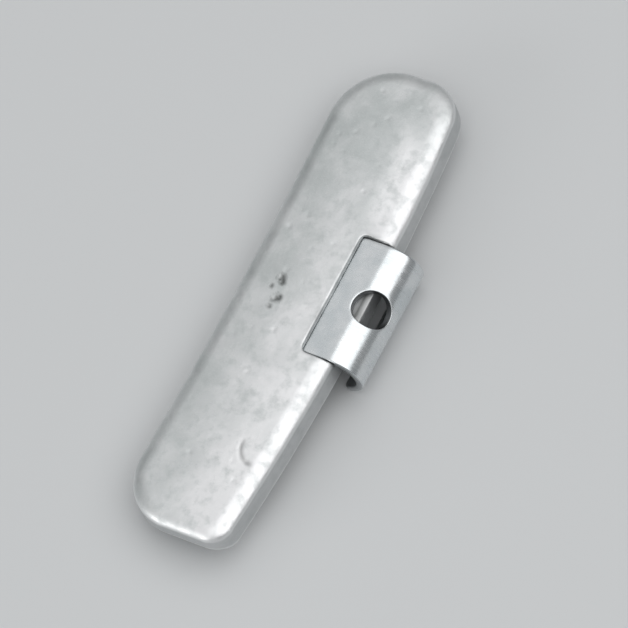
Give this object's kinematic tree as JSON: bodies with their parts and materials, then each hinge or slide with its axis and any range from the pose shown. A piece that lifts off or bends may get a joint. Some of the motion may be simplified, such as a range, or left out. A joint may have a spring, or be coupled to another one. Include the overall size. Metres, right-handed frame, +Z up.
{
  "type": "wheel balance weight",
  "caption": "Clip-on wheel balance weight: a slightly curved zinc casting with rounded ends and a sprung steel clip, with a tool hole in its crown, that grips the rim flange",
  "frame": {"origin": "centre of the bounding box in X and Y, on the surface the weight lies on", "axes": "+X along the casting, parallel to the rim; +Y outward across it, to the clip side; +Z up. The weight lies front face up, at rest on its far back edge and the tip of the hook, so the front face leans about 9 degrees back from +Z toward -Y"},
  "size_m": [0.066, 0.0202, 0.0077],
  "materials": {
    "zinc": "as-cast zinc, mottled light grey, matt to satin, with fine pits",
    "clip_steel": "zinc-plated spring steel strip, satin to bright"
  },
  "bodies": {
    "root": {"body": "zinc", "clip": "clip_steel"}
  },
  "joints": []
}
